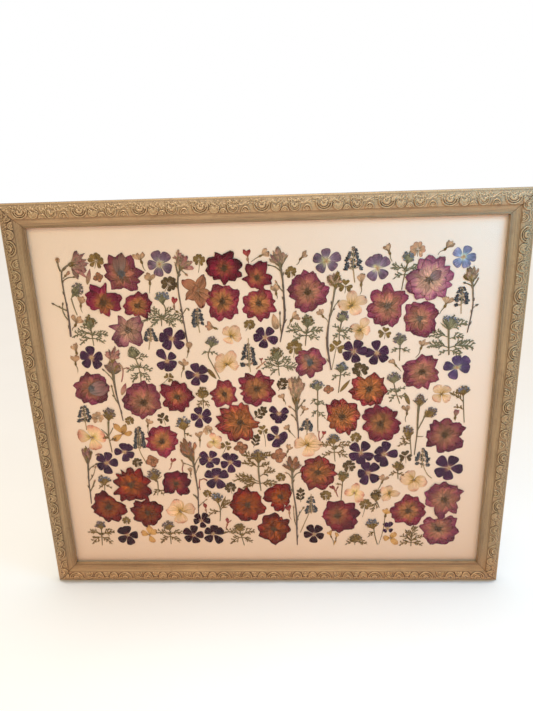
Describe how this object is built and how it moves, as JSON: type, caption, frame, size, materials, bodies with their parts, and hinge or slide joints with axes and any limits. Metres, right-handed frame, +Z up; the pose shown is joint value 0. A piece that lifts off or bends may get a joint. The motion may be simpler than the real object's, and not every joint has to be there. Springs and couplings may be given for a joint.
{
  "type": "pressed flower frame",
  "caption": "Wall frame of aged gilt moulding with dried roses and meadow flowers pressed flat behind glass on cream paper.",
  "frame": {"origin": "middle of the frame's bottom edge: half its width, half its depth, at its lowest point", "axes": "+X to the right as seen from the front, +Y backwards to the wall, +Z up the frame"},
  "size_m": [0.659, 0.0222, 0.5573],
  "materials": {
    "aged_gilt_wood": "satin",
    "picture_glass": "polished",
    "cream_paper": "matte",
    "grey_card": "matte",
    "kraft_paper": "matte",
    "dull_brass": "satin",
    "steel_pin": "satin",
    "dried_rose_petal": "matte",
    "dried_stem_and_bract": "matte",
    "dried_violet_petal": "matte",
    "dried_cream_petal": "matte",
    "dried_small_bloom": "matte",
    "dried_leaf": "matte"
  },
  "bodies": {
    "root": {"frame_top": "aged_gilt_wood", "frame_right": "aged_gilt_wood", "frame_bottom": "aged_gilt_wood", "frame_left": "aged_gilt_wood", "glass": "picture_glass", "mount_board": "cream_paper", "backing_board": "grey_card", "dust_cover": "kraft_paper", "sawtooth_hanger": "dull_brass", "rose_01": "dried_rose_petal", "rose_02": "dried_rose_petal", "rose_03": "dried_rose_petal", "rose_04": "dried_rose_petal", "rose_05": "dried_rose_petal", "rose_06": "dried_rose_petal", "rose_07": "dried_rose_petal", "rose_08": "dried_rose_petal", "rose_09": "dried_rose_petal", "rose_10": "dried_rose_petal", "rose_11": "dried_rose_petal", "rose_12": "dried_rose_petal", "rose_13": "dried_rose_petal", "rose_14": "dried_rose_petal", "rose_15": "dried_rose_petal", "rose_16": "dried_rose_petal", "rose_17": "dried_rose_petal", "rose_18": "dried_rose_petal", "rose_19": "dried_rose_petal", "rose_20": "dried_rose_petal", "rose_21": "dried_rose_petal", "rose_22": "dried_rose_petal", "rose_23": "dried_rose_petal", "rose_24": "dried_rose_petal", "rose_25": "dried_rose_petal", "rose_26": "dried_rose_petal", "rose_27": "dried_rose_petal", "rose_28": "dried_rose_petal", "rose_29": "dried_rose_petal", "rose_30": "dried_rose_petal", "rose_31": "dried_rose_petal", "rose_32": "dried_rose_petal", "rose_33": "dried_rose_petal", "rose_34": "dried_rose_petal", "rose_35": "dried_rose_petal", "rose_36": "dried_rose_petal", "rose_37": "dried_rose_petal", "paintbrush_01": "dried_stem_and_bract", "paintbrush_02": "dried_stem_and_bract", "paintbrush_03": "dried_stem_and_bract", "paintbrush_04": "dried_stem_and_bract", "paintbrush_05": "dried_stem_and_bract", "paintbrush_06": "dried_stem_and_bract", "paintbrush_07": "dried_stem_and_bract", "paintbrush_08": "dried_stem_and_bract", "paintbrush_09": "dried_stem_and_bract", "paintbrush_10": "dried_stem_and_bract", "thistle_01": "dried_stem_and_bract", "thistle_02": "dried_stem_and_bract", "verbena_01": "dried_stem_and_bract", "verbena_02": "dried_stem_and_bract"}
  },
  "joints": []
}
